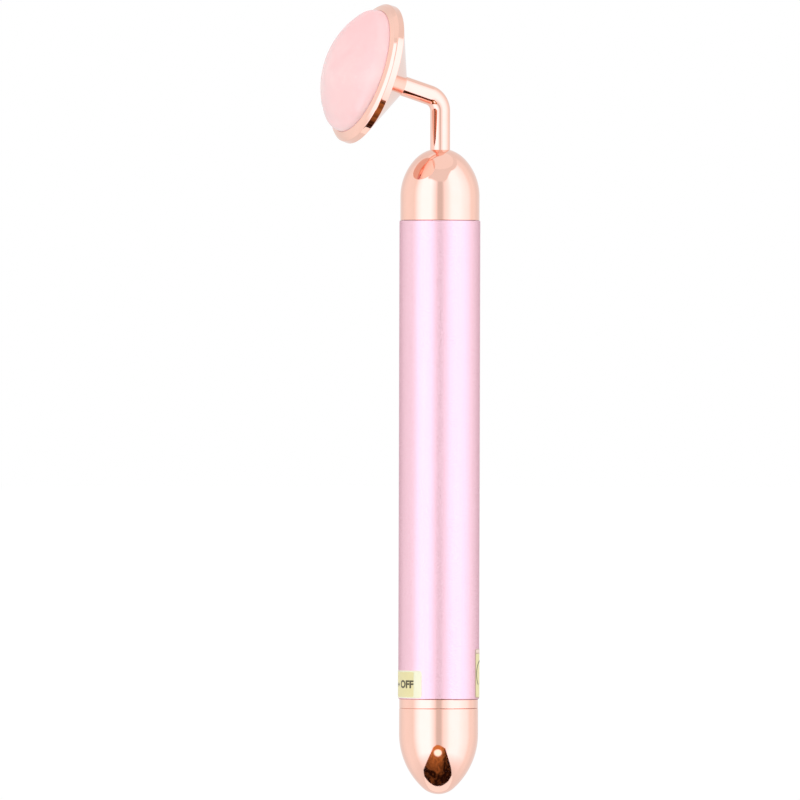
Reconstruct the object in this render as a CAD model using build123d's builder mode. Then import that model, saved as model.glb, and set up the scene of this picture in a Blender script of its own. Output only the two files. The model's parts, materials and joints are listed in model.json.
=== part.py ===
from build123d import *
import os
from math import cos, radians, sin, sqrt

# Battery facial massager: a slim handle with a vibrating motor, a bent stem and a domed stone head.
# Millimetres. +Z runs up the handle's axis, and the origin is the middle of the handle tube.
# The stem bends towards -X.

# Fits between pieces, measured on the radius or along the axis
glue_gap = 0.02
running_gap = 0.05
seam_gap = 0.05
moving_gap = 0.15

# Battery cell: a standard one, which sets the bore and the length of the tube
battery_diameter = 14.2
battery_length = 50.2
battery_jacket_wall = 0.12
battery_nub_diameter = 5.2
battery_nub_height = 1.2
battery_edge_round = 0.4
battery_play = 0.28
liner_wall = 0.35
contact_play = 0.1

# Handle tube
tube_wall = 0.5
tube_diameter = battery_diameter + 2 * (battery_play + liner_wall + glue_gap + tube_wall)
tube_edge_round = 0.12

# Head dome, a small step slimmer than the tube
dome_step = 0.16
dome_diameter = tube_diameter - 2 * dome_step
dome_skirt = 4.9
dome_crown = 9.8
dome_tip_radius = 7.0
dome_wall = 0.8

# Bent stem, measured on its centre line
stem_diameter = 4.05
stem_rise = 10.1
stem_bend_radius = 3.4
arm_angle = 17.4
arm_reach = 16.0
stem_thread_diameter = 3.0

# Stone and the cup that holds it, measured from the plane where the cup's cone meets its rim
cup_radius = 14.75
cup_cone_depth = 7.2
cup_wall = 1.1
cup_stem_seat = 2.3
cup_back_rim = 0.12
cup_front_step = 0.3
cup_edge_height = 1.35
lip_height = 2.4
lip_width = 1.8
stone_crown = 6.9
stone_crown_radius = 18.0
seat_height = 0.3
pad_thickness = 0.5
seat_ledge = 1.6

# Head plug, its socket in the tube, and the fixing of the stem
spigot_length = 6.0
socket_wall = 0.8
socket_length = 9.0
boss_height = 9.2
boss_radius = 3.6
boss_floor = 3.2
plug_skirt_height = 4.0
plug_wall = 1.2
washer_diameter = 7.0
washer_thickness = 0.5
nut_across_flats = 5.5
nut_thickness = 2.4
thread_past_nut = 0.6
oring_section = 0.7
spigot_chamfer = 0.3
socket_chamfer = 0.25

# Motor, its carrier and the eccentric weight
holder_wall = 1.0
holder_floor = 1.5
wiring_space = 5.5
holder_ledge = 1.2
motor_diameter = 12.0
motor_depth = 10.0
motor_can_length = 12.0
motor_cap_length = 3.0
motor_can_wall = 0.5
motor_boss_diameter = 4.0
motor_boss_height = 0.8
shaft_diameter = 1.0
armature_length = 7.0
armature_slot = 1.0
magnet_count = 2
magnet_thickness = 1.3
magnet_span = 108.0
terminal_width = 1.8
terminal_thickness = 0.3
terminal_length = 2.4
terminal_offset = 3.4
weight_diameter = 9.6
weight_length = 4.5
weight_angle = 170.0
weight_hub_diameter = 2.6
weight_stand_off = 0.6

# Contacts and leads
contact_diameter = 8.0
contact_thickness = 0.4
rivet_diameter = 2.0
rivet_head_height = 0.6
ground_tab_width = 3.0
ground_tab_thickness = 0.3
lead_diameter = 0.9
lead_bend = 1.2

# Switch collar and end cap, both a small step slimmer than the tube
collar_step = 0.2
collar_diameter = tube_diameter - 2 * collar_step
collar_band = 1.9
collar_sleeve = 8.3
cap_step = 0.17
cap_diameter = tube_diameter - 2 * cap_step
cap_skirt = 5.2
cap_nose = 12.35
cap_tip_radius = 4.7
cap_wall = 1.0
insert_wall = 1.2
insert_depth = 5.0
insert_floor = 1.0
cap_spigot_length = 7.1
cap_spigot_wall_gap = 0.05
cell_to_spigot = 4.35
collar_sleeve_wall = 0.38
cap_oring_from_top = 1.3
lug_count = 3
lug_width = 18.0
lug_height = 1.2
lug_reach = 0.3
lug_from_seam = 2.6
switch_angle = 60.0
first_lug_angle = 90.0
slot_side_play = 1.5
contact_plate_thickness = 0.3
spring_wire = 0.6
spring_diameter = 7.6
spring_turns = 6

# Film labels at the tube's lower end
label_thickness = 0.07
label_gap = 0.01
off_label_height = 5.6
off_label_start = 110.8
off_label_end = 223.4
ring_label_height = 9.6
ring_label_start = 312.4
ring_label_end = 388.8
label_from_tube_end = 0.1

# Radii that several pieces share
tube_radius = tube_diameter / 2
tube_bore = tube_radius - tube_wall
dome_radius = dome_diameter / 2
dome_bore = dome_radius - dome_wall
stem_radius = stem_diameter / 2
cap_radius = cap_diameter / 2
cap_bore = cap_radius - cap_wall
socket_outer = tube_bore - running_gap
socket_bore = socket_outer - socket_wall
plug_spigot_radius = socket_bore - running_gap
collar_outer = tube_bore - glue_gap
collar_bore = collar_outer - collar_sleeve_wall
cap_spigot_radius = collar_bore - cap_spigot_wall_gap
holder_outer = tube_bore - glue_gap
liner_outer = tube_bore - glue_gap
battery_radius = battery_diameter / 2

# The tube is as long as what stands in it: socket, motor, contacts, cell and the cap's spigot
weight_drop = 2 * moving_gap
motor_length = motor_boss_height + motor_can_length + motor_cap_length
holder_length = weight_drop + weight_length + weight_stand_off + motor_length + wiring_space + holder_floor
cell_space = contact_thickness + contact_play + battery_length + cell_to_spigot
tube_length = socket_length + moving_gap + holder_length + cell_space + cap_spigot_length - collar_band

# Heights along the handle's axis
tube_top = tube_length / 2
tube_end = -tube_length / 2
dome_base = tube_top + seam_gap
dome_shoulder = dome_base + dome_skirt
dome_apex = dome_shoulder + dome_crown
bend_corner = dome_apex + stem_rise
spigot_end = tube_top - spigot_length
socket_end = tube_top - socket_length
boss_top = dome_base + boss_height
washer_top = boss_top - boss_floor
nut_top = washer_top - washer_thickness
nut_bottom = nut_top - nut_thickness
thread_end = nut_bottom - thread_past_nut
holder_top = socket_end - moving_gap
weight_top = holder_top - weight_drop
weight_bottom = weight_top - weight_length
motor_boss_top = weight_bottom - weight_stand_off
can_top = motor_boss_top - motor_boss_height
can_bottom = can_top - motor_can_length
motor_bottom = can_bottom - motor_cap_length
floor_top = motor_bottom - wiring_space
holder_bottom = floor_top - holder_floor
contact_face = holder_bottom - contact_thickness
battery_top = contact_face - contact_play
battery_bottom = battery_top - battery_length
collar_seam = tube_end - collar_band
cap_top = collar_seam
cap_skirt_end = cap_top - cap_skirt
cap_spigot_top = cap_top + cap_spigot_length
insert_bottom = cap_top - insert_depth
insert_floor_top = insert_bottom + insert_floor
plate_top = insert_floor_top + contact_plate_thickness
spring_top = battery_bottom - contact_play
lug_bottom = cap_top + lug_from_seam
lug_top = lug_bottom + lug_height

# The arm leaves the bend at this slope, and the stone's axis is the arm's axis
slope = radians(arm_angle)
arm_direction = Vector(-cos(slope), 0, sin(slope))
arm_across = Vector(sin(slope), 0, cos(slope))
bend_point = Vector(0, 0, bend_corner)
head_centre = bend_point + arm_direction * arm_reach
head_plane = Plane(origin=head_centre, x_dir=arm_across, z_dir=(0, -1, 0))
head_axis = Axis(head_centre, arm_direction)


def finish(part, name):
    """Label a finished piece and write it as one STEP file."""
    part.label = name
    export_step(part, f"parts/{name}.step")


def sector(inner, outer, start, end):
    """The piece of a ring between two radii and two angles in degrees, as a flat sketch."""
    a = radians(start)
    b = radians(end)
    with BuildSketch() as piece:
        with BuildLine():
            CenterArc((0, 0), outer, start, end - start)
            CenterArc((0, 0), inner, start, end - start)
            Line((inner * cos(a), inner * sin(a)), (outer * cos(a), outer * sin(a)))
            Line((inner * cos(b), inner * sin(b)), (outer * cos(b), outer * sin(b)))
        make_face()
    return piece.sketch


def domed(base, radius, height, tip_radius, side, inset=0):
    """Add to the open outline a domed end: a flank arc and a tip arc that meet without a corner.

    The dome stands on the height called base, rises by height on the given side (1 up, -1 down),
    and is moved in by inset, which is a wall.
    """
    flank_radius = (radius**2 + height**2 - 2 * height * tip_radius) / (2 * (radius - tip_radius))
    flank_x = radius - flank_radius
    tip_y = height - tip_radius
    share = (flank_radius - inset) / (flank_radius - tip_radius)
    foot = (radius - inset, base)
    join = (flank_x - share * flank_x, base + side * share * tip_y)
    point = (0, base + side * (height - inset))
    TangentArc(foot, join, tangent=(0, side))
    TangentArc(point, join, tangent=(1, 0))


os.makedirs("parts", exist_ok=True)

# Handle tube: drawn aluminium tube with broken edges
with BuildPart() as handle_tube:
    with BuildSketch(Plane.XY.offset(tube_end)):
        Circle(tube_radius)
        Circle(tube_bore, mode=Mode.SUBTRACT)
    extrude(amount=tube_length)
    fillet(handle_tube.edges().filter_by(GeomType.CIRCLE).group_by(SortBy.RADIUS)[-1], tube_edge_round)
finish(handle_tube.part, "handle_tube")

# Head dome: thin plated shell, a short skirt under a domed crown, with a hole for the stem
with BuildPart() as head_dome:
    with BuildSketch(Plane.XZ):
        with BuildLine():
            Line((0, dome_apex), (0, dome_apex - dome_wall))
            domed(dome_shoulder, dome_radius, dome_crown, dome_tip_radius, 1, dome_wall)
            Line((dome_bore, dome_shoulder), (dome_bore, dome_base))
            Line((dome_bore, dome_base), (dome_radius, dome_base))
            Line((dome_radius, dome_base), (dome_radius, dome_shoulder))
            domed(dome_shoulder, dome_radius, dome_crown, dome_tip_radius, 1)
        make_face()
    revolve(axis=Axis.Z)
    with BuildSketch(Plane.XY.offset(dome_shoulder)):
        Circle(stem_radius + glue_gap)
    extrude(amount=dome_crown + dome_wall, mode=Mode.SUBTRACT)
finish(head_dome.part, "head_dome")

# Head plug: moulded insert, glued in the dome, with a boss for the stem and a spigot for the socket
plug_groove = socket_bore - oring_section - 2 * running_gap
oring_height = spigot_end + spigot_length / 2
groove_half = oring_section / 2 + running_gap
with BuildPart() as head_plug:
    with BuildSketch(Plane.XY.offset(spigot_end)):
        Circle(plug_spigot_radius)
    extrude(amount=spigot_length + seam_gap)
    with BuildSketch(Plane.XY.offset(dome_base)):
        Circle(dome_bore - glue_gap)
    extrude(amount=plug_skirt_height)
    with BuildSketch(Plane.XY.offset(dome_base)):
        Circle(boss_radius + plug_wall)
    extrude(amount=boss_height)
    with BuildSketch(Plane.XY.offset(spigot_end)):
        Circle(boss_radius)
    extrude(amount=washer_top - spigot_end, mode=Mode.SUBTRACT)
    with BuildSketch(Plane.XY.offset(spigot_end)):
        Circle(stem_thread_diameter / 2 + running_gap)
    extrude(amount=boss_top - spigot_end + moving_gap, mode=Mode.SUBTRACT)
    with BuildSketch(Plane.XY.offset(oring_height - groove_half)):
        Circle(plug_spigot_radius + moving_gap)
        Circle(plug_groove, mode=Mode.SUBTRACT)
    extrude(amount=2 * groove_half, mode=Mode.SUBTRACT)
    chamfer(
        head_plug.edges().filter_by(GeomType.CIRCLE).group_by(Axis.Z)[0].sort_by(SortBy.RADIUS)[-1],
        spigot_chamfer,
    )
finish(head_plug.part, "head_plug")

# Head O-ring: rubber ring in the plug's groove that grips the socket
with BuildPart() as head_oring:
    with BuildSketch(Plane.XZ):
        with Locations((socket_bore - running_gap - oring_section / 2, oring_height)):
            Circle(oring_section / 2)
    revolve(axis=Axis.Z)
finish(head_oring.part, "head_oring")

# Head socket: sleeve that turns in the tube's top and takes the head's plug
with BuildPart() as head_socket:
    with BuildSketch(Plane.XY.offset(socket_end)):
        Circle(socket_outer)
        Circle(socket_bore, mode=Mode.SUBTRACT)
    extrude(amount=socket_length - moving_gap)
    chamfer(head_socket.edges().group_by(Axis.Z)[-1].sort_by(SortBy.RADIUS)[0], socket_chamfer)
finish(head_socket.part, "head_socket")

# Bent stem: plated rod with one tight bend and a threaded lower end
stem_turn = radians(90 - arm_angle)
bend_setback = stem_bend_radius * sin(stem_turn / 2) / cos(stem_turn / 2)
bend_start = bend_point - Vector(0, 0, bend_setback)
bend_end = bend_point + arm_direction * bend_setback
bend_middle = Vector(-stem_bend_radius, 0, bend_corner - bend_setback) + Vector(
    stem_bend_radius * cos(stem_turn / 2), 0, stem_bend_radius * sin(stem_turn / 2)
)
arm_end = head_centre - arm_direction * (cup_cone_depth - cup_stem_seat)
with BuildPart() as bent_stem:
    with BuildLine():
        Line((0, 0, boss_top), bend_start)
        ThreePointArc(bend_start, bend_middle, bend_end)
        Line(bend_end, arm_end)
    with BuildSketch(Plane.XY.offset(boss_top)):
        Circle(stem_radius)
    sweep()
    with BuildSketch(Plane.XY.offset(thread_end)):
        Circle(stem_thread_diameter / 2)
    extrude(amount=boss_top - thread_end)
finish(bent_stem.part, "bent_stem")

# Stem washer and nut: clamp the stem's shoulder against the plug's boss
with BuildPart() as stem_washer:
    with BuildSketch(Plane.XY.offset(nut_top)):
        Circle(washer_diameter / 2)
        Circle(stem_thread_diameter / 2 + running_gap, mode=Mode.SUBTRACT)
    extrude(amount=washer_thickness)
finish(stem_washer.part, "stem_washer")

with BuildPart() as stem_nut:
    with BuildSketch(Plane.XY.offset(nut_bottom)):
        RegularPolygon(nut_across_flats / 2, 6, major_radius=False)
        Circle(stem_thread_diameter / 2 + glue_gap, mode=Mode.SUBTRACT)
    extrude(amount=nut_thickness)
finish(stem_nut.part, "stem_nut")

# Head cup: cast cup with a conical back, widest there, a band that tapers forward and a lip round the stone
stone_radius = cup_radius - lip_width
cup_stone_radius = stone_radius + running_gap
pocket_floor = cup_stem_seat - cup_cone_depth
pocket_radius = cup_stone_radius - seat_ledge
pocket_foot = stem_radius + cup_wall
cup_edge = (cup_radius, 0)
cup_band = (cup_radius - 0.35 * cup_front_step, cup_edge_height / 2)
cup_front = (cup_radius - cup_front_step, cup_edge_height)
with BuildPart() as head_cup:
    with BuildSketch(head_plane):
        with BuildLine():
            Polyline(
                (0, pocket_floor),
                (0, -cup_cone_depth),
                (stem_radius + cup_back_rim, -cup_cone_depth),
                cup_edge,
            )
            ThreePointArc(cup_edge, cup_band, cup_front)
            Polyline(
                cup_front,
                (cup_stone_radius, lip_height),
                (cup_stone_radius, seat_height),
                (pocket_radius, seat_height),
                (pocket_foot, pocket_floor),
                (0, pocket_floor),
            )
        make_face()
    revolve(axis=head_axis)
    with BuildSketch(Plane(origin=head_centre, x_dir=(0, 1, 0), z_dir=-arm_direction)):
        Circle(stem_radius + glue_gap)
    extrude(amount=cup_cone_depth + moving_gap, mode=Mode.SUBTRACT)
finish(head_cup.part, "head_cup")

# Massage stone: polished cabochon with a flat base and a domed face
with BuildPart() as massage_stone:
    with BuildSketch(head_plane):
        with BuildLine():
            Line((0, seat_height), (stone_radius, seat_height))
            Line((stone_radius, seat_height), (stone_radius, lip_height))
            domed(lip_height, stone_radius, stone_crown, stone_crown_radius, 1)
            Line((0, lip_height + stone_crown), (0, seat_height))
        make_face()
    revolve(axis=head_axis)
finish(massage_stone.part, "massage_stone")

# Stone pad: adhesive foam disc under the stone, inside the seat's ledge
pocket_slope = (pocket_radius - pocket_foot) / (seat_height - pocket_floor)
pad_radius = pocket_radius - pad_thickness * pocket_slope - moving_gap
with BuildPart() as stone_pad:
    with BuildSketch(Plane(origin=head_centre + arm_direction * seat_height, z_dir=-arm_direction)):
        Circle(pad_radius)
    extrude(amount=pad_thickness)
finish(stone_pad.part, "stone_pad")

# Motor holder: moulded cup that carries the motor, with a floor for the battery contact
motor_radius = motor_diameter / 2
holder_bore = holder_outer - holder_wall
tab_window = ground_tab_width + 2 * moving_gap
with BuildPart() as motor_holder:
    with BuildSketch(Plane.XY.offset(holder_bottom)):
        Circle(holder_outer)
    extrude(amount=holder_top - holder_bottom)
    with BuildSketch(Plane.XY.offset(can_top)):
        Circle(holder_bore)
    extrude(amount=holder_top - can_top, mode=Mode.SUBTRACT)
    with BuildSketch(Plane.XY.offset(motor_bottom)):
        Circle(motor_radius + glue_gap)
        Rectangle(motor_diameter * 2, motor_depth + 2 * glue_gap, mode=Mode.INTERSECT)
    extrude(amount=can_top - motor_bottom, mode=Mode.SUBTRACT)
    with BuildSketch(Plane.XY.offset(floor_top)):
        Circle(motor_radius - holder_ledge)
    extrude(amount=motor_bottom - floor_top, mode=Mode.SUBTRACT)
    with BuildSketch(Plane.XY.offset(holder_bottom)):
        Circle(rivet_diameter / 2 + glue_gap)
    extrude(amount=holder_floor, mode=Mode.SUBTRACT)
    with BuildSketch(Plane.XY.offset(floor_top)):
        with Locations((-holder_outer, 0)):
            Rectangle(2 * (holder_outer - motor_radius + holder_ledge + moving_gap), tab_window)
    extrude(amount=wiring_space, mode=Mode.SUBTRACT)
finish(motor_holder.part, "motor_holder")

# Motor can: drawn steel cup with two flats, and a round boss where the shaft comes out
with BuildPart() as motor_can:
    with BuildSketch(Plane.XY.offset(can_bottom)):
        Circle(motor_radius)
        Rectangle(motor_diameter * 2, motor_depth, mode=Mode.INTERSECT)
    extrude(amount=motor_can_length)
    with BuildSketch(Plane.XY.offset(can_top)):
        Circle(motor_boss_diameter / 2)
    extrude(amount=motor_boss_height)
    with BuildSketch(Plane.XY.offset(can_bottom)):
        Circle(motor_radius - motor_can_wall)
        Rectangle(motor_diameter * 2, motor_depth - 2 * motor_can_wall, mode=Mode.INTERSECT)
    extrude(amount=motor_can_length - motor_can_wall, mode=Mode.SUBTRACT)
    with BuildSketch(Plane.XY.offset(can_bottom)):
        Circle(shaft_diameter / 2 + running_gap)
    extrude(amount=motor_can_length + motor_boss_height, mode=Mode.SUBTRACT)
finish(motor_can.part, "motor_can")

# Motor end cap: moulded cover with the rear bush
with BuildPart() as motor_end_cap:
    with BuildSketch(Plane.XY.offset(motor_bottom)):
        Circle(motor_radius)
        Rectangle(motor_diameter * 2, motor_depth, mode=Mode.INTERSECT)
        Circle(shaft_diameter / 2 + running_gap, mode=Mode.SUBTRACT)
    extrude(amount=motor_cap_length)
finish(motor_end_cap.part, "motor_end_cap")

# Motor magnets: two arc magnets glued inside the can
magnet_outer = motor_radius - motor_can_wall - glue_gap
magnet_inner = magnet_outer - magnet_thickness
armature_bottom = can_bottom + (motor_can_length - motor_can_wall - armature_length) / 2
with BuildPart() as motor_magnets:
    with BuildSketch(Plane.XY.offset(armature_bottom)):
        for magnet in range(magnet_count):
            middle = magnet * 360 / magnet_count
            add(sector(magnet_inner, magnet_outer, middle - magnet_span / 2, middle + magnet_span / 2))
    extrude(amount=armature_length)
finish(motor_magnets.part, "motor_magnets")

# Motor armature: three-pole core on the shaft, with slots between its poles
armature_radius = magnet_inner - 2 * moving_gap
with BuildPart() as motor_armature:
    with BuildSketch(Plane.XY.offset(armature_bottom)):
        Circle(armature_radius)
        Circle(shaft_diameter / 2 + glue_gap, mode=Mode.SUBTRACT)
        with PolarLocations(armature_radius, 3):
            Rectangle(armature_radius, armature_slot, mode=Mode.SUBTRACT)
    extrude(amount=armature_length)
finish(motor_armature.part, "motor_armature")

# Motor shaft: ground steel pin from the rear bush to the weight
with BuildPart() as motor_shaft:
    with BuildSketch(Plane.XY.offset(motor_bottom + moving_gap)):
        Circle(shaft_diameter / 2)
    extrude(amount=weight_top - motor_bottom - moving_gap)
finish(motor_shaft.part, "motor_shaft")

# Eccentric weight: hub with a heavy sector, pressed on the shaft
with BuildPart() as eccentric_weight:
    with BuildSketch(Plane.XY.offset(weight_bottom)):
        add(sector(shaft_diameter / 2, weight_diameter / 2, -weight_angle / 2, weight_angle / 2))
        Circle(weight_hub_diameter / 2)
        Circle(shaft_diameter / 2 + glue_gap, mode=Mode.SUBTRACT)
    extrude(amount=weight_length)
finish(eccentric_weight.part, "eccentric_weight")

# Motor terminals: two brass tabs out of the motor's end cap
with BuildPart() as motor_terminals:
    with BuildSketch(Plane.XY.offset(motor_bottom - terminal_length)):
        with Locations((-terminal_offset, 0), (terminal_offset, 0)):
            Rectangle(terminal_thickness, terminal_width)
    extrude(amount=terminal_length)
finish(motor_terminals.part, "motor_terminals")

# Positive contact: plated disc riveted through the holder's floor
with BuildPart() as positive_contact:
    with BuildSketch(Plane.XY.offset(contact_face)):
        Circle(contact_diameter / 2)
    extrude(amount=contact_thickness)
    with BuildSketch(Plane.XY.offset(holder_bottom)):
        Circle(rivet_diameter / 2)
    extrude(amount=holder_floor)
    with BuildSketch(Plane.XY.offset(floor_top)):
        Circle(rivet_diameter / 2 + 2 * glue_gap)
    extrude(amount=rivet_head_height)
finish(positive_contact.part, "positive_contact")

# Ground tab: bronze leaf in the holder's window that bears on the tube's bore
tab_outer = tube_bore - 2 * glue_gap
tab_height = wiring_space - 2 * moving_gap
foot_length = tab_outer - ground_tab_thickness - motor_radius + holder_ledge - moving_gap
with BuildPart() as ground_tab:
    with BuildSketch(Plane.XY.offset(floor_top)):
        with Locations((-tab_outer + ground_tab_thickness, 0)):
            Rectangle(ground_tab_thickness, ground_tab_width)
    extrude(amount=tab_height)
    with BuildSketch(Plane.XY.offset(floor_top)):
        with Locations((-tab_outer + ground_tab_thickness + foot_length / 2, 0)):
            Rectangle(foot_length, ground_tab_width)
    extrude(amount=ground_tab_thickness)
finish(ground_tab.part, "ground_tab")


def lead_between(start, corner, end):
    """Insulated wire: two straight runs and one rounded corner."""
    with BuildPart() as wire:
        with BuildLine() as route:
            FilletPolyline(start, corner, end, radius=lead_bend)
        with BuildSketch(Plane(origin=start, z_dir=route.line % 0)):
            Circle(lead_diameter / 2)
        sweep()
    return wire.part


# Leads: red from the rivet to one terminal, black from the ground tab to the other
lead_rise = motor_bottom - terminal_length
lead_level = floor_top + rivet_head_height + lead_diameter / 2 + glue_gap
positive_lead = lead_between(
    (0, 0, lead_level), (terminal_offset, 0, lead_level), (terminal_offset, 0, lead_rise)
)
finish(positive_lead, "positive_lead")

tab_solder = -tab_outer + ground_tab_thickness * 3 / 2
ground_level = floor_top + ground_tab_thickness + lead_diameter / 2 + glue_gap
ground_lead = lead_between(
    (tab_solder, 0, ground_level), (-terminal_offset, 0, ground_level), (-terminal_offset, 0, lead_rise)
)
finish(ground_lead, "ground_lead")

# Battery liner: thin insulating sleeve between the cell and the tube
liner_bottom = tube_end + collar_sleeve
with BuildPart() as battery_liner:
    with BuildSketch(Plane.XY.offset(liner_bottom)):
        Circle(liner_outer)
        Circle(liner_outer - liner_wall, mode=Mode.SUBTRACT)
    extrude(amount=holder_bottom - liner_bottom)
finish(battery_liner.part, "battery_liner")

# Battery cell: steel can with its nub up, in a printed jacket
can_radius = battery_radius - battery_jacket_wall
battery_shoulder = battery_top - battery_nub_height
with BuildPart() as battery_cell:
    with BuildSketch(Plane.XY.offset(battery_bottom)):
        Circle(can_radius)
    extrude(amount=battery_length - battery_nub_height)
    fillet(battery_cell.edges().filter_by(GeomType.CIRCLE), battery_edge_round)
    with BuildSketch(Plane.XY.offset(battery_shoulder)):
        Circle(battery_nub_diameter / 2)
    extrude(amount=battery_nub_height)
finish(battery_cell.part, "battery_cell")

with BuildPart() as battery_jacket:
    with BuildSketch(Plane.XY.offset(battery_bottom + battery_edge_round)):
        Circle(battery_radius)
        Circle(can_radius + glue_gap, mode=Mode.SUBTRACT)
    extrude(amount=battery_length - battery_nub_height - 2 * battery_edge_round)
finish(battery_jacket.part, "battery_jacket")

# Switch collar: plated ring glued in the tube's end, with a band that shows and slots for the cap's lugs
slot_play = moving_gap
with BuildPart() as switch_collar:
    with BuildSketch(Plane.XY.offset(collar_seam)):
        Circle(collar_diameter / 2)
        Circle(collar_bore, mode=Mode.SUBTRACT)
    extrude(amount=collar_band)
    with BuildSketch(Plane.XY.offset(tube_end)):
        Circle(collar_outer)
        Circle(collar_bore, mode=Mode.SUBTRACT)
    extrude(amount=collar_sleeve)
    fillet(
        switch_collar.edges().filter_by(GeomType.CIRCLE).group_by(SortBy.RADIUS)[-1],
        tube_edge_round,
    )
    with BuildSketch(Plane.XY.offset(collar_seam)):
        for lug in range(lug_count):
            middle = first_lug_angle + lug * 360 / lug_count
            half = lug_width / 2 + slot_side_play
            add(sector(collar_bore - moving_gap, collar_outer, middle - half, middle + half))
    extrude(amount=lug_top + slot_play - collar_seam, mode=Mode.SUBTRACT)
    with BuildSketch(Plane.XY.offset(lug_bottom - slot_play)):
        for lug in range(lug_count):
            middle = first_lug_angle + lug * 360 / lug_count
            half = lug_width / 2 + slot_side_play
            add(sector(collar_bore - moving_gap, collar_outer, middle - switch_angle - half, middle + half))
    extrude(amount=lug_height + 2 * slot_play, mode=Mode.SUBTRACT)
finish(switch_collar.part, "switch_collar")

# End cap: plated shell with straight sides, curved flanks and a blunt tip
with BuildPart() as end_cap:
    with BuildSketch(Plane.XZ):
        with BuildLine():
            Line((cap_bore, cap_top), (cap_radius, cap_top))
            Line((cap_radius, cap_top), (cap_radius, cap_skirt_end))
            domed(cap_skirt_end, cap_radius, cap_nose, cap_tip_radius, -1)
            Line((0, cap_skirt_end - cap_nose), (0, cap_skirt_end - cap_nose + cap_wall))
            domed(cap_skirt_end, cap_radius, cap_nose, cap_tip_radius, -1, cap_wall)
            Line((cap_bore, cap_skirt_end), (cap_bore, cap_top))
        make_face()
    revolve(axis=Axis.Z)
    fillet(
        end_cap.edges().filter_by(GeomType.CIRCLE).group_by(Axis.Z)[-1].sort_by(SortBy.RADIUS)[-1],
        tube_edge_round,
    )
finish(end_cap.part, "end_cap")

# Cap insert: moulded spigot glued in the cap, with three bayonet lugs and a groove for the O-ring
cap_oring_height = cap_spigot_top - cap_oring_from_top
cap_groove = collar_bore - oring_section - 2 * running_gap
insert_outer = cap_bore - glue_gap
insert_bore = insert_outer - insert_wall
lug_root = (insert_bore + cap_spigot_radius) / 2
with BuildPart() as cap_insert:
    with BuildSketch(Plane.XY.offset(insert_bottom)):
        Circle(insert_outer)
    extrude(amount=insert_depth)
    with BuildSketch(Plane.XY.offset(cap_top)):
        Circle(cap_spigot_radius)
    extrude(amount=cap_spigot_length)
    with BuildSketch(Plane.XY.offset(lug_bottom)):
        for lug in range(lug_count):
            middle = first_lug_angle + lug * 360 / lug_count
            add(sector(lug_root, cap_spigot_radius + lug_reach, middle - lug_width / 2, middle + lug_width / 2))
    extrude(amount=lug_height)
    with BuildSketch(Plane.XY.offset(insert_floor_top)):
        Circle(insert_bore)
    extrude(amount=cap_spigot_top - insert_floor_top, mode=Mode.SUBTRACT)
    with BuildSketch(Plane.XY.offset(cap_oring_height - groove_half)):
        Circle(cap_spigot_radius + moving_gap)
        Circle(cap_groove, mode=Mode.SUBTRACT)
    extrude(amount=2 * groove_half, mode=Mode.SUBTRACT)
finish(cap_insert.part, "cap_insert")

# Cap O-ring: rubber ring in the insert's groove
with BuildPart() as cap_oring:
    with BuildSketch(Plane.XZ):
        with Locations((collar_bore - running_gap - oring_section / 2, cap_oring_height)):
            Circle(oring_section / 2)
    revolve(axis=Axis.Z)
finish(cap_oring.part, "cap_oring")

# Cap contact plate: stamped disc on the insert's floor, under the spring
with BuildPart() as cap_contact:
    with BuildSketch(Plane.XY.offset(insert_floor_top + glue_gap)):
        Circle(insert_bore - moving_gap)
    extrude(amount=contact_plate_thickness - glue_gap)
finish(cap_contact.part, "cap_contact")

# Contact spring: one helical wire that presses on the cell's base
spring_radius = (spring_diameter - spring_wire) / 2
spring_base = plate_top + spring_wire / 2 + glue_gap
spring_rise = spring_top - spring_wire / 2 - spring_base
spring_pitch = spring_rise / spring_turns
with BuildPart() as contact_spring:
    with BuildLine() as spring_line:
        Helix(spring_pitch, spring_rise, spring_radius, center=(0, 0, spring_base))
    with BuildSketch(Plane(origin=spring_line.line @ 0, z_dir=spring_line.line % 0)):
        Circle(spring_wire / 2)
    sweep(is_frenet=True)
finish(contact_spring.part, "contact_spring")
samples = 60 * spring_turns
spring_points = [spring_line.line @ (step / samples) for step in range(samples + 1)]
apart = [
    (spring_points[i] - spring_points[j]).length - spring_wire
    for i in range(0, samples, 6)
    for j in range(i + 30, samples + 1, 6)
]
print("spring's least gap to itself, mm:", round(min(apart), 2))

# Film labels: thin printed films wrapped round the tube's lower end
label_bottom = tube_end + tube_edge_round + label_from_tube_end
label_inner = tube_radius + label_gap
label_outer = label_inner + label_thickness
with BuildPart() as off_label:
    with BuildSketch(Plane.XY.offset(label_bottom)):
        add(sector(label_inner, label_outer, off_label_start, off_label_end))
    extrude(amount=off_label_height)
finish(off_label.part, "off_label")

with BuildPart() as ring_label:
    with BuildSketch(Plane.XY.offset(label_bottom)):
        add(sector(label_inner, label_outer, ring_label_start, ring_label_end))
    extrude(amount=ring_label_height)
finish(ring_label.part, "ring_label")
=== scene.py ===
import json
from math import atan2, cos, degrees, pi, radians, sin, sqrt, tan

import bmesh
import bpy
from mathutils import Matrix, Vector


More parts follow.
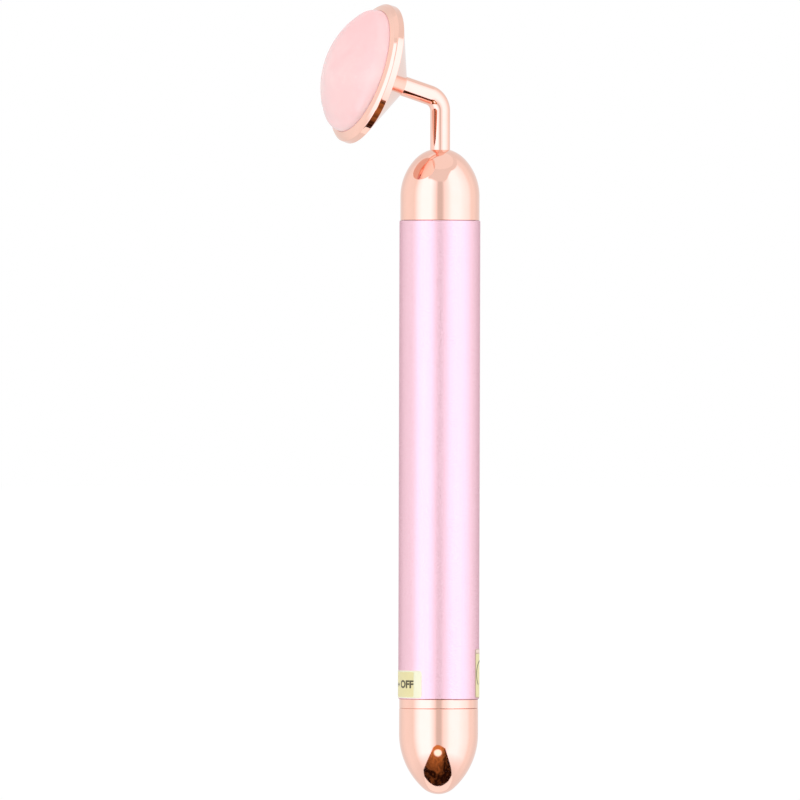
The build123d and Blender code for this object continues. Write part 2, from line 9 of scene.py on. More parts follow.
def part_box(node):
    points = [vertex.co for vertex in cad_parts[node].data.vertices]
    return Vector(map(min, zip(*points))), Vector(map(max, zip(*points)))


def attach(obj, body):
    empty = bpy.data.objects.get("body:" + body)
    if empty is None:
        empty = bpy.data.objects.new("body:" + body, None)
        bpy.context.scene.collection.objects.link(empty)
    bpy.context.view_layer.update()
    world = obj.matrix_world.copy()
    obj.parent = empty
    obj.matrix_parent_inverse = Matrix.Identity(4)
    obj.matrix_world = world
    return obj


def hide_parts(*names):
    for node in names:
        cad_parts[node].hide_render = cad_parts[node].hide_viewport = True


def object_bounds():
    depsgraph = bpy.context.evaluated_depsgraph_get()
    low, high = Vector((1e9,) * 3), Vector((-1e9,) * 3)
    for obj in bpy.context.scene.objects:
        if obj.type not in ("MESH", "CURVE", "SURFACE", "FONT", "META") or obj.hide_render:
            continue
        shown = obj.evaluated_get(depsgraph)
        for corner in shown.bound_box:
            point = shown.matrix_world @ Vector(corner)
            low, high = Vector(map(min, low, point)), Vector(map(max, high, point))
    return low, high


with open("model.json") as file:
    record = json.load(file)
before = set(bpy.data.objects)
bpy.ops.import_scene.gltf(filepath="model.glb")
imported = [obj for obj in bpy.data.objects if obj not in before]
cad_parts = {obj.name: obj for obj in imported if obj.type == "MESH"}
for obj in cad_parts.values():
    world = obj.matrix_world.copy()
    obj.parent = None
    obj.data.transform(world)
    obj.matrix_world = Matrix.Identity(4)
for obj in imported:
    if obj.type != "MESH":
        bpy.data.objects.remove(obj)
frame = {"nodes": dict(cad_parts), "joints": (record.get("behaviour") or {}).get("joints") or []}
cad_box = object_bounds()

# Motor can: a cup drawn from thin zinc-plated steel, with two flats pressed in its sides.
# The plating is pale and a little milky, and the die leaves faint lines along the cup.
# Real die lines are a few hundredths of a millimetre apart, and are drawn coarser here so that they show.
mm = 0.001


def linear(hex_colour):
    """The linear colour of an sRGB hex value."""
    shares = [int(hex_colour[i:i + 2], 16) / 255 for i in (1, 3, 5)]
    return tuple(s / 12.92 if s <= 0.04045 else ((s + 0.055) / 1.055) ** 2.4 for s in shares) + (1.0,)


def add_node(owner, kind, inputs=None, **settings):
    """Adds one node to a material or the world; an input that is given an output is linked to it."""
    node = owner.node_tree.nodes.new(kind)
    for name, value in settings.items():
        setattr(node, name, value)
    for name, value in (inputs or {}).items():
        if isinstance(value, bpy.types.NodeSocket):
            owner.node_tree.links.new(value, node.inputs[name])
        else:
            node.inputs[name].default_value = value
    return node


def new_material(name):
    """An empty node material."""
    material = bpy.data.materials.new(name)
    material.use_nodes = True
    material.node_tree.nodes.clear()
    return material


def grained_finish(name, grain_size, tints, surface, detail=2, cells=False,
                   stretch=None, gloss=None, relief=None):
    """A finish whose one grain, of a real size, breaks up its colour, its gloss and its relief.

    tints holds one hex colour, or two that the grain mixes. surface holds the shader's own values. stretch
    draws the grain out along an axis, gloss is the roughness at the grain's low and high points, and relief
    is the strength and depth of its bump.
    """
    material = new_material(name)
    place = add_node(material, "ShaderNodeTexCoord").outputs["Object"]
    if stretch:
        drawn_out = add_node(material, "ShaderNodeMapping", {"Vector": place, "Scale": stretch})
        place = drawn_out.outputs["Vector"]
    pattern = {"Vector": place, "Scale": 1 / grain_size}
    if cells:
        grain = add_node(material, "ShaderNodeTexVoronoi", pattern).outputs["Distance"]
    else:
        grain = add_node(material, "ShaderNodeTexNoise", pattern | {"Detail": detail}).outputs["Fac"]
    inputs = {"Base Color": linear(tints[0])} | surface
    if len(tints) > 1:
        mix = add_node(material, "ShaderNodeMix",
                       {0: grain, 6: linear(tints[0]), 7: linear(tints[1])}, data_type="RGBA")
        inputs["Base Color"] = mix.outputs[2]
    if gloss:
        rough = add_node(material, "ShaderNodeMapRange",
                         {"Value": grain, "To Min": gloss[0], "To Max": gloss[1]})
        inputs["Roughness"] = rough.outputs["Result"]
    if relief:
        bump = add_node(material, "ShaderNodeBump",
                        {"Height": grain, "Strength": relief[0], "Distance": relief[1]})
        inputs["Normal"] = bump.outputs["Normal"]
    shader = add_node(material, "ShaderNodeBsdfPrincipled", inputs)
    add_node(material, "ShaderNodeOutputMaterial", {"Surface": shader.outputs["BSDF"]})
    return material


def dress(material, *node_names):
    """Gives CAD nodes their material."""
    for node_name in node_names:
        for slot in frame["nodes"][node_name].material_slots:
            slot.material = material


die_lines = 0.2 * mm
zinc_steel = grained_finish("zinc_plated_steel", die_lines, ["#C9CACD"], {"Metallic": 1},
                            stretch=(1, 1, 0.04), gloss=(0.24, 0.4), relief=(0.4, 0.004 * mm))
dress(zinc_steel, "motor_can")

# Motor end cap: moulded black nylon that closes the can and holds the rear bush.
# Spark-eroded mould walls leave it matt, with a fine even grain, drawn coarser than real so that it shows.
spark_grain = 0.15 * mm
black_nylon = grained_finish("moulded_black_nylon", spark_grain, ["#1B1B1C", "#2A2A2B"],
                             {"Roughness": 0.55, "IOR": 1.53}, detail=3, relief=(0.5, 0.01 * mm))
dress(black_nylon, "motor_end_cap")

# Motor magnets: two arcs of sintered ferrite, glued inside the can.
# The fired ceramic is charcoal grey, with specks where grains broke away.
# The specks are drawn coarser than real, so that they show.
chipped_grains = 0.3 * mm
ferrite = grained_finish("sintered_ferrite", chipped_grains, ["#3A3A3E", "#232326"], {"Roughness": 0.62},
                         cells=True, relief=(0.4, 0.02 * mm))
dress(ferrite, "motor_magnets")

# Motor armature: a stack of stamped silicon-steel sheets pressed on the shaft.
# The sheets' edges show as bands half a millimetre wide, greyish blue from the insulating varnish.
laminations = new_material("stamped_silicon_steel")
place = add_node(laminations, "ShaderNodeTexCoord")
sheet = 0.5 * mm
# A wave of scale 1 repeats every pi / 10 units, and one wave covers two sheets.
stack = add_node(laminations, "ShaderNodeTexWave",
                 {"Vector": place.outputs["Object"], "Scale": pi / (20 * sheet)}, bands_direction="Z")
tint = add_node(laminations, "ShaderNodeMix",
                {0: stack.outputs["Fac"], 6: linear("#6B6D73"), 7: linear("#8E9096")}, data_type="RGBA")
relief = add_node(laminations, "ShaderNodeBump",
                  {"Height": stack.outputs["Fac"], "Strength": 0.6, "Distance": 0.02 * mm})
varnished = add_node(laminations, "ShaderNodeBsdfPrincipled",
                     {"Base Color": tint.outputs[2], "Metallic": 1, "Roughness": 0.42,
                      "Normal": relief.outputs["Normal"]})
add_node(laminations, "ShaderNodeOutputMaterial", {"Surface": varnished.outputs["BSDF"]})
dress(laminations, "motor_armature")

# Motor shaft, stem washer and stem nut: bright steel, ground or turned.
# The tool leaves fine rings round the axis, so the gloss is a little drawn out.
# Real rings are a few hundredths of a millimetre apart, and are drawn coarser here so that they show.
tool_marks = 0.12 * mm
bright_steel = grained_finish("ground_bright_steel", tool_marks, ["#D2D2D3"], {"Metallic": 1},
                              stretch=(0.06, 0.06, 1), gloss=(0.16, 0.3), relief=(0.3, 0.003 * mm))
dress(bright_steel, "motor_shaft", "stem_washer", "stem_nut")

# Eccentric weight: a sector pressed from heavy bronze powder and sintered, then pushed on the shaft.
# It is dull yellow-brown, with open pores that are drawn coarser than real, so that they show.
powder_pores = 0.18 * mm
sintered_bronze = grained_finish("sintered_bronze", powder_pores, ["#8C7346", "#C2A76C"],
                                 {"Metallic": 1, "Roughness": 0.46}, detail=4, relief=(0.6, 0.02 * mm))
dress(sintered_bronze, "eccentric_weight")

# Motor terminals and ground tab: strips stamped from spring brass.
# Rolling leaves a satin face, and handling leaves darker patches.
tarnish_patch = 1.5 * mm
brass = grained_finish("stamped_brass", tarnish_patch, ["#C79F58", "#E6C581"], {"Metallic": 1},
                       detail=4, gloss=(0.36, 0.24))
dress(brass, "motor_terminals", "ground_tab")

# Motor holder, head socket, head plug and cap insert: moulded natural ABS.
# The polymer is slightly see-through at its skin, and flow leaves a faint cloudiness.
# The mould's fine grain is drawn coarser than real, which is under 0.1 mm, so that it shows.
white_abs = new_material("moulded_natural_abs")
place = add_node(white_abs, "ShaderNodeTexCoord")
flow_cloud = 3.0 * mm
mould_grain = 0.2 * mm
cloud = add_node(white_abs, "ShaderNodeTexNoise",
                 {"Vector": place.outputs["Object"], "Scale": 1 / flow_cloud, "Detail": 3})
tint = add_node(white_abs, "ShaderNodeMix",
                {0: cloud.outputs["Fac"], 6: linear("#E4E2DA"), 7: linear("#EEEDE7")}, data_type="RGBA")
grain = add_node(white_abs, "ShaderNodeTexNoise",
                 {"Vector": place.outputs["Object"], "Scale": 1 / mould_grain, "Detail": 2})
relief = add_node(white_abs, "ShaderNodeBump",
                  {"Height": grain.outputs["Fac"], "Strength": 0.35, "Distance": 0.006 * mm})
abs_skin = add_node(white_abs, "ShaderNodeBsdfPrincipled",
                    {"Base Color": tint.outputs[2], "Roughness": 0.42, "IOR": 1.53,
                     "Subsurface Weight": 0.08, "Subsurface Scale": 0.5 * mm,
                     "Normal": relief.outputs["Normal"]})
add_node(white_abs, "ShaderNodeOutputMaterial", {"Surface": abs_skin.outputs["BSDF"]})
dress(white_abs, "motor_holder", "head_socket", "head_plug", "cap_insert")

# Positive contact, cap contact plate and contact spring: steel with bright nickel plating.
# The plating is warm grey and glossy, with faint rub marks where the cell bears on it.
rub_mark = 0.8 * mm
nickel = grained_finish("bright_nickel_plate", rub_mark, ["#CFCBC2", "#E0DDD6"], {"Metallic": 1},
                        detail=5, gloss=(0.1, 0.3))
dress(nickel, "positive_contact", "cap_contact", "contact_spring")

# Leads: stranded wire in extruded PVC, red from the rivet and black from the ground tab.
# The insulation is smooth with a soft gloss, and the strands press faint ridges through it.
strand_ridge = 0.3 * mm
for colour_name, lead, tints in (("red", "positive_lead", ["#9E1512", "#BE221B"]),
                                 ("black", "ground_lead", ["#161616", "#222223"])):
    pvc = grained_finish("extruded_" + colour_name + "_pvc", strand_ridge, tints,
                         {"Roughness": 0.38, "IOR": 1.54}, detail=1, relief=(0.5, 0.01 * mm))
    dress(pvc, lead)

# Handle tube: drawn aluminium tube, cut to length, its edges broken, then satin etched and anodised pink.
# The etch gives a soft wide gloss, and drawing leaves very faint streaks along the tube.
# Both are drawn coarser than real: etched grains are a few hundredths of a millimetre.
tube_low, tube_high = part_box("handle_tube")
tube_radius = tube_high.x
tube_bottom = tube_low.z
tube_top = tube_high.z
tube_bore = tube_radius - 0.5 * mm
edge_round = 0.18 * mm
bore_round = 0.05 * mm


def rounded(corners, steps=6):
    """A closed outline of (radius, height, round) corners with each corner turned into an arc."""
    outline = []
    count = len(corners)
    for index in range(count):
        x, y, size = corners[index]
        if size == 0:
            outline.append((x, y))
            continue
        here = Vector((x, y))
        back = (Vector(corners[index - 1][:2]) - here).normalized()
        on = (Vector(corners[(index + 1) % count][:2]) - here).normalized()
        half = back.angle(on) / 2
        reach = size / tan(half)
        middle = here + (back + on).normalized() * (size / sin(half))
        first = here + back * reach
        last = here + on * reach
        # A short straight stretch on each side of the arc keeps its shading off the flat.
        hold = min(size / 2, 0.04 * mm)
        outline.append(tuple(first + back * hold))
        start = first - middle
        turn = start.angle_signed(last - middle)
        for step in range(steps + 1):
            outline.append(tuple(middle + Matrix.Rotation(-turn * step / steps, 2) @ start))
        outline.append(tuple(last + on * hold))
    return outline


def finish_mesh(name, shape, material, placed=None):
    """Turns a bmesh into a shown object, with soft shading and crisp edges."""
    bmesh.ops.recalc_face_normals(shape, faces=shape.faces)
    mesh = bpy.data.meshes.new(name)
    shape.to_mesh(mesh)
    shape.free()
    if placed is not None:
        mesh.transform(placed)
    crisp_edge = radians(40)
    mesh.shade_smooth()
    mesh.set_sharp_from_angle(angle=crisp_edge)
    mesh.materials.append(material)
    made = bpy.data.objects.new(name, mesh)
    bpy.context.scene.collection.objects.link(made)
    return made


def skinned(name, rings, material, closing="none", placed=None):
    """A mesh object from rings of points joined in order; closing is none, loop or lids."""
    shape = bmesh.new()
    rings = [[shape.verts.new(spot) for spot in ring] for ring in rings]
    pairs = list(zip(rings, rings[1:]))
    if closing == "loop":
        pairs.append((rings[-1], rings[0]))
    for one, other in pairs:
        sides = max(len(one), len(other))
        for step in range(sides):
            on = (step + 1) % sides
            corners = [one[step % len(one)], one[on % len(one)],
                       other[on % len(other)], other[step % len(other)]]
            corners = list(dict.fromkeys(corners))
            if len(corners) > 2:
                shape.faces.new(corners)
    if closing == "lids":
        shape.faces.new(rings[0])
        shape.faces.new(rings[-1])
    return finish_mesh(name, shape, material, placed)


def turned(name, outline, material, closing="loop", segments=256, placed=None):
    """A mesh object turned from an outline of (radius, height) points; on the axis a ring is one point."""
    on_axis = 1e-7
    rings = []
    for radius, height in outline:
        size = max(radius, 0)
        ring = []
        for step in range(1 if radius < on_axis else segments):
            angle = 2 * pi * step / segments
            ring.append((size * cos(angle), size * sin(angle), height))
        rings.append(ring)
    return skinned(name, rings, material, closing, placed)


anodised = new_material("satin_anodised_aluminium")
place = add_node(anodised, "ShaderNodeTexCoord")
etch_grain = 0.12 * mm
drawn_streak = 0.35 * mm
etch = add_node(anodised, "ShaderNodeTexNoise",
                {"Vector": place.outputs["Object"], "Scale": 1 / etch_grain, "Detail": 2})
stretched = add_node(anodised, "ShaderNodeMapping",
                     {"Vector": place.outputs["Object"], "Scale": (1, 1, 0.02)})
streaks = add_node(anodised, "ShaderNodeTexNoise",
                   {"Vector": stretched.outputs["Vector"], "Scale": 1 / drawn_streak, "Detail": 3})
tint = add_node(anodised, "ShaderNodeMix",
                {0: streaks.outputs["Fac"], 6: linear("#F1C7D3"), 7: linear("#F7CFDA")}, data_type="RGBA")
gloss = add_node(anodised, "ShaderNodeMapRange",
                 {"Value": etch.outputs["Fac"], "From Min": 0.42, "From Max": 0.58,
                  "To Min": 0.22, "To Max": 0.5})
relief = add_node(anodised, "ShaderNodeBump",
                  {"Height": etch.outputs["Fac"], "Strength": 0.25, "Distance": 0.002 * mm})
# The dyed film takes some light at a glancing angle, which the tint at the edge stands for.
metal = add_node(anodised, "ShaderNodeBsdfPrincipled",
                 {"Base Color": tint.outputs[2], "Metallic": 1, "Roughness": gloss.outputs["Result"],
                  "Specular Tint": linear("#D9CCD1"), "Normal": relief.outputs["Normal"]})
add_node(anodised, "ShaderNodeOutputMaterial", {"Surface": metal.outputs["BSDF"]})

handle_tube = turned("handle_tube_satin", rounded([
    (tube_radius, tube_bottom, edge_round),
    (tube_radius, tube_top, edge_round),
    (tube_bore, tube_top, bore_round),
    (tube_bore, tube_bottom, bore_round),
]), anodised)
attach(handle_tube, "handle")
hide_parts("handle_tube")

# Battery liner: a strip of polyester film, rolled and pushed into the tube so that the cell can't touch it.
# The film is milky, thin enough to glow, and its surface is slightly rippled.
film_ripple = 2.5 * mm
liner_film = grained_finish("rolled_polyester_film", film_ripple, ["#DAD9D2", "#E8E7E2"],
                            {"Roughness": 0.35, "IOR": 1.64}, relief=(0.4, 0.05 * mm))
dress(liner_film, "battery_liner")

# Head and cap O-rings: moulded nitrile rubber, lightly greased.
# The rubber is black and matt, with a soft sheen where the grease sits.
grease_patch = 1.2 * mm
nitrile = grained_finish("moulded_nitrile_rubber", grease_patch, ["#161617", "#242425"], {"IOR": 1.52},
                         detail=3, gloss=(0.3, 0.6))
dress(nitrile, "head_oring", "cap_oring")

# Bent stem: steel rod, threaded at its foot, bent once round a small former, polished and plated rose gold.
# The plating mirrors what stands round it, with the faintest waviness left by polishing by hand.
rose_gold = new_material("polished_rose_gold_plate")
place = add_node(rose_gold, "ShaderNodeTexCoord")
polish_wave = 3.5 * mm
wipe_smear = 1.8 * mm
wave = add_node(rose_gold, "ShaderNodeTexNoise",
                {"Vector": place.outputs["Object"], "Scale": 1 / polish_wave, "Detail": 1})
smear = add_node(rose_gold, "ShaderNodeTexNoise",
                 {"Vector": place.outputs["Object"], "Scale": 1 / wipe_smear, "Detail": 4})
tint = add_node(rose_gold, "ShaderNodeMix",
                {0: smear.outputs["Fac"], 6: linear("#FACAB8"), 7: linear("#FCCEBE")}, data_type="RGBA")
gloss = add_node(rose_gold, "ShaderNodeMapRange",
                 {"Value": smear.outputs["Fac"], "To Min": 0.045, "To Max": 0.085})
relief = add_node(rose_gold, "ShaderNodeBump",
                  {"Height": wave.outputs["Fac"], "Strength": 0.3, "Distance": 0.01 * mm})
metal = add_node(rose_gold, "ShaderNodeBsdfPrincipled",
                 {"Base Color": tint.outputs[2], "Metallic": 1, "Roughness": gloss.outputs["Result"],
                  "Normal": relief.outputs["Normal"]})
add_node(rose_gold, "ShaderNodeOutputMaterial", {"Surface": metal.outputs["BSDF"]})

dome_low, dome_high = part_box("head_dome")
glue_gap = 0.02 * mm
stem_radius = 4.05 * mm / 2
hole_radius = stem_radius + glue_gap
tip_radius = 7.0 * mm
dome_apex = dome_high.z + tip_radius - sqrt(tip_radius ** 2 - hole_radius ** 2)
boss_top = dome_low.z + 9.2 * mm
stem_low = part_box("bent_stem")[0].z
bend_radius = 3.4 * mm
arm_slope = radians(17.4)
arm_reach = 16.0 * mm
cone_depth = 7.2 * mm
stem_seat = 2.3 * mm
up = Vector((0, 0, 1))
arm = Vector((-cos(arm_slope), 0, sin(arm_slope)))
bend_corner = (dome_apex + 10.1 * mm) * up
head_centre = bend_corner + arm * arm_reach


def swept(name, line, material, sides=96):
    """A mesh object from rings along a line in the XZ plane; each entry is (point, direction, radius)."""
    across = Vector((0, 1, 0))
    rings = []
    for spot, direction, size in line:
        outward = across.cross(direction).normalized()
        ring = []
        for step in range(sides):
            angle = 2 * pi * step / sides
            ring.append(spot + size * (cos(angle) * outward + sin(angle) * across))
        rings.append(ring)
    return skinned(name, rings, material, "lids")


# A ring a little way from each edge and bend keeps the shading of one stretch off the next.
foot_break = 0.15 * mm
arm_break = 0.2 * mm
hold = 0.05 * mm
bend_turn = pi / 2 - arm_slope
bend_steps = 64
setback = bend_radius * tan(bend_turn / 2)
bend_start = bend_corner.z - setback
arm_end = arm_reach - cone_depth + stem_seat
line = [(boss_top * up, up, stem_radius - foot_break)]
for height in (boss_top + foot_break, boss_top + foot_break + hold, bend_start - 2 * hold):
    line.append((height * up, up, stem_radius))
for step in range(bend_steps + 1):
    angle = bend_turn * step / bend_steps
    spot = Vector((-bend_radius * (1 - cos(angle)), 0, bend_start + bend_radius * sin(angle)))
    line.append((spot, Vector((-sin(angle), 0, cos(angle))), stem_radius))
for along in (setback + 2 * hold, arm_end - arm_break - hold, arm_end - arm_break):
    line.append((bend_corner + arm * along, arm, stem_radius))
line.append((bend_corner + arm * arm_end, arm, stem_radius - arm_break))
stem = swept("bent_stem_rod", line, rose_gold)
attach(stem, "head")
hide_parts("bent_stem")

thread_radius = 1.5 * mm
thread_pitch = 0.5 * mm
thread_depth = 0.16 * mm
groove_half = 0.4
foot_bevel = 0.3 * mm
top_bevel = 0.1 * mm
rows_per_turn = 12
thread_sides = 64
thread_length = boss_top - stem_low
rows = int(thread_length / thread_pitch * rows_per_turn)
rings = []
for row in range(rows + 1):
    height = stem_low + thread_length * row / rows
    bevel = max(0, foot_bevel - (height - stem_low)) + max(0, top_bevel - (boss_top - height))
    ring = []
    for step in range(thread_sides):
        angle = 2 * pi * step / thread_sides
        share = (height / thread_pitch - angle / (2 * pi)) % 1
        groove = thread_depth * max(0, 1 - abs(share - 0.5) / groove_half)
        size = thread_radius - max(groove, bevel)
        ring.append((size * cos(angle), size * sin(angle), height))
    rings.append(ring)
stem_thread = skinned("bent_stem_thread", rings, bright_steel, "lids")
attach(stem_thread, "head")
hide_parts("bent_stem")

# Head dome: a shell spun from thin brass, polished and plated like the stem, glued over the head plug.
# Its skirt is a small step slimmer than the tube, and the stem comes out through its crown.


def domed(base, radius, height, tip, side, inset=0, steps=48):
    """Points of a domed end from its foot to its apex: a flank arc and a tip arc with no corner between."""
    flank_radius = (radius ** 2 + height ** 2 - 2 * height * tip) / (2 * (radius - tip))
    flank_x = radius - flank_radius
    tip_y = height - tip
    share = flank_radius / (flank_radius - tip)
    join = atan2(share * tip_y, -share * flank_x)
    points = []
    for step in range(steps + 1):
        angle = join * step / steps
        reach = flank_radius - inset
        points.append((flank_x + reach * cos(angle), base + side * reach * sin(angle)))
    for step in range(1, steps + 1):
        angle = join + (pi / 2 - join) * step / steps
        reach = tip - inset
        points.append((reach * cos(angle), base + side * (tip_y + reach * sin(angle))))
    return points


dome_radius = dome_high.x
dome_wall = 0.8 * mm
dome_skirt = 4.9 * mm
dome_crown = 9.8 * mm
shoulder = dome_low.z + dome_skirt
skirt_round = 0.1 * mm
hole_break = 0.05 * mm
dome_curve = (shoulder, dome_radius, dome_crown, tip_radius, 1)
outer = [spot for spot in domed(*dome_curve) if spot[0] > hole_radius + 2 * hole_break]
inner = [spot for spot in domed(*dome_curve, dome_wall) if spot[0] > hole_radius]
foot = rounded([
    (dome_radius - dome_wall, dome_low.z, 0),
    (dome_radius, dome_low.z, skirt_round),
    (dome_radius, shoulder, 0),
])
foot[-1] = (dome_radius, shoulder - 2 * hold)
crown_rim = dome_apex - tip_radius + sqrt(tip_radius ** 2 - (hole_radius + hole_break) ** 2)
hole = [
    (hole_radius + hole_break, crown_rim),
    (hole_radius, crown_rim - hole_break),
    (hole_radius, crown_rim - dome_wall),
]
head_dome = turned("head_dome_shell", foot + outer + hole + inner[::-1], rose_gold)
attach(head_dome, "head")
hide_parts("head_dome")

# Head cup: die cast in zinc, its shallow cone turned and polished, plated rose gold, and brazed to the stem.
# It is widest where the cone ends; a narrow band tapers forward and a round lip runs up to the stone.
cup_radius = 14.75 * mm
lip_width = 1.8 * mm
stone_radius = cup_radius - lip_width
stone_bore = stone_radius + glue_gap
edge_height = 1.35 * mm
lip_height = 2.4 * mm
seat_height = 0.3 * mm
seat_ledge = 1.6 * mm
seat_round = 0.05 * mm
back_rim = 0.12 * mm
edge_swell = 0.02 * mm
band_taper = 0.06 * mm
lip_shoulder = 1.15 * mm
shoulder_drop = 0.48 * mm
lip_rise = 0.05 * mm
pocket_wall = 1.1 * mm
pocket_floor = stem_seat - cone_depth
across_arm = Vector((sin(arm_slope), 0, cos(arm_slope)))
on_arm = Matrix.Translation(head_centre) @ Matrix((
    (across_arm.x, 0, arm.x, 0),
    (across_arm.y, 1, arm.y, 0),
    (across_arm.z, 0, arm.z, 0),
    (0, 0, 0, 1),
))
# Each entry is a corner's radius, its height along the arm and its rounding.
# The widest corner stands a hair outside the cup's radius, which its rounding takes off again.
cup = [
    (hole_radius, pocket_floor, 0),
    (hole_radius, -cone_depth, 0),
    (stem_radius + back_rim, -cone_depth, 0.04 * mm),
    (cup_radius + edge_swell, edge_swell / 2, 0.12 * mm),
    (cup_radius - band_taper, edge_height, 0.35 * mm),
    (stone_bore + lip_shoulder, lip_height - shoulder_drop, 0.3 * mm),
    (stone_bore, lip_height + lip_rise, 0.08 * mm),
    (stone_bore, seat_height, seat_round),
    (stone_bore - seat_ledge, seat_height, seat_round),
    (stem_radius + pocket_wall, pocket_floor, 0.3 * mm),
]
head_cup = turned("head_cup_casting", rounded(cup), rose_gold, placed=on_arm)
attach(head_cup, "head")
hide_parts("head_cup")

# Stone pad: a disc die-cut from acrylic foam tape, which holds the stone in the cup.
# The foam is off-white and matt, with tiny open cells.
foam_cell = 0.15 * mm
foam_tape = grained_finish("acrylic_foam_tape", foam_cell, ["#EFEFEA", "#D9D9D3"],
                           {"Roughness": 0.8, "IOR": 1.47}, cells=True, relief=(0.5, 0.03 * mm))
dress(foam_tape, "stone_pad")

# Massage stone: a cabochon cut and tumbled from rose quartz.
# Light goes a few millimetres into it, so it looks milky, with soft clouds and small pale flecks.
# Its pink is painted deeper towards the upper edge. This is painted shade that evens out the overhead lamp's
# stronger light there.
rose_quartz = new_material("tumbled_rose_quartz")
place = add_node(rose_quartz, "ShaderNodeTexCoord")
cloud_size = 9.0 * mm
fleck_size = 1.4 * mm
clouds = add_node(rose_quartz, "ShaderNodeTexNoise",
                  {"Vector": place.outputs["Object"], "Scale": 1 / cloud_size, "Detail": 3,
                   "Roughness": 0.5, "Distortion": 0.8})
spread = add_node(rose_quartz, "ShaderNodeMapRange",
                  {"Value": clouds.outputs["Fac"], "From Min": 0.32, "From Max": 0.68})
pinks = add_node(rose_quartz, "ShaderNodeMix",
                 {0: spread.outputs["Result"], 6: linear("#F6C9CA"), 7: linear("#FAD3D2")}, data_type="RGBA")
flecks = add_node(rose_quartz, "ShaderNodeTexNoise",
                  {"Vector": place.outputs["Object"], "Scale": 1 / fleck_size, "Detail": 5})
fleck_share = add_node(rose_quartz, "ShaderNodeMapRange",
                       {"Value": flecks.outputs["Fac"], "From Min": 0.55, "From Max": 0.85, "To Max": 0.35})
flecked = add_node(rose_quartz, "ShaderNodeMix",
                   {0: fleck_share.outputs["Result"], 6: pinks.outputs[2], 7: linear("#F8DEDC")},
                   data_type="RGBA")
# Painted shade: the colour turns a deeper pink with height, where the overhead lamp lights the stone more.
level = add_node(rose_quartz, "ShaderNodeSeparateXYZ", {"Vector": place.outputs["Object"]})
upper_painted_shade = add_node(rose_quartz, "ShaderNodeMapRange",
                {"Value": level.outputs["Z"], "From Min": head_centre.z,
                 "From Max": head_centre.z + stone_radius})
tint = add_node(rose_quartz, "ShaderNodeMix",
                {0: upper_painted_shade.outputs["Result"], 6: flecked.outputs[2], 7: linear("#F0BABC")}, data_type="RGBA")
gloss = add_node(rose_quartz, "ShaderNodeMapRange",
                 {"Value": clouds.outputs["Fac"], "To Min": 0.16, "To Max": 0.24})
quartz = add_node(rose_quartz, "ShaderNodeBsdfPrincipled",
                  {"Base Color": tint.outputs[2], "Roughness": gloss.outputs["Result"], "IOR": 1.544,
                   "Subsurface Weight": 0.4, "Subsurface Radius": (1.0, 0.62, 0.6),
                   "Subsurface Scale": 2.0 * mm})
add_node(rose_quartz, "ShaderNodeOutputMaterial", {"Surface": quartz.outputs["BSDF"]})
stone_crown = 6.9 * mm
crown_radius = 18.0 * mm
girdle_break = 0.15 * mm
stone_side = [
    (0, seat_height),
    (stone_radius - girdle_break, seat_height),
    (stone_radius, seat_height + girdle_break),
    (stone_radius, lip_height - 2 * hold),
]
stone_face = domed(lip_height, stone_radius, stone_crown, crown_radius, 1, steps=64)
stone = turned("massage_stone_cabochon", stone_side + stone_face, rose_quartz, "none", placed=on_arm)
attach(stone, "head")
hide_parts("massage_stone")

# Battery cell: an alkaline AA cell, a nickel-plated steel can with its nub up.
# The can's ends are bright and finely scratched by contacts.
scratch = 0.4 * mm
can_steel = grained_finish("plated_cell_can", scratch, ["#C4C3C1", "#D9D8D6"], {"Metallic": 1},
                           detail=5, gloss=(0.14, 0.32))
dress(can_steel, "battery_cell")

# Battery jacket: a sleeve of printed film shrunk on the cell, blue with a silver band at the nub's end.
# The ink is glossy under the film, and its dots are drawn coarser than real so that they show.
jacket_film = new_material("printed_shrink_film")
place = add_node(jacket_film, "ShaderNodeTexCoord")
level = add_node(jacket_film, "ShaderNodeSeparateXYZ", {"Vector": place.outputs["Object"]})
silver_band = 9.0 * mm
band_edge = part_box("battery_jacket")[1].z - silver_band
edge_blur = 0.05 * mm
band = add_node(jacket_film, "ShaderNodeMapRange",
                {"Value": level.outputs["Z"], "From Min": band_edge - edge_blur,
                 "From Max": band_edge + edge_blur})
ink_dots = 0.3 * mm
ink = add_node(jacket_film, "ShaderNodeTexNoise",
               {"Vector": place.outputs["Object"], "Scale": 1 / ink_dots, "Detail": 2})
blues = add_node(jacket_film, "ShaderNodeMix",
                 {0: ink.outputs["Fac"], 6: linear("#2C6190"), 7: linear("#356C9E")}, data_type="RGBA")
tint = add_node(jacket_film, "ShaderNodeMix",
                {0: band.outputs["Result"], 6: blues.outputs[2], 7: linear("#C9CBCE")}, data_type="RGBA")
film = add_node(jacket_film, "ShaderNodeBsdfPrincipled",
                {"Base Color": tint.outputs[2], "Roughness": 0.24, "IOR": 1.54, "Coat Weight": 0.4,
                 "Coat Roughness": 0.08})
add_node(jacket_film, "ShaderNodeOutputMaterial", {"Surface": film.outputs["BSDF"]})
dress(jacket_film, "battery_jacket")

# Switch collar: turned brass ring, glued in the tube's end and plated like the cap.
# Only its band shows, between the tube and the cap, so its shape stays the CAD's.
dress(rose_gold, "switch_collar")

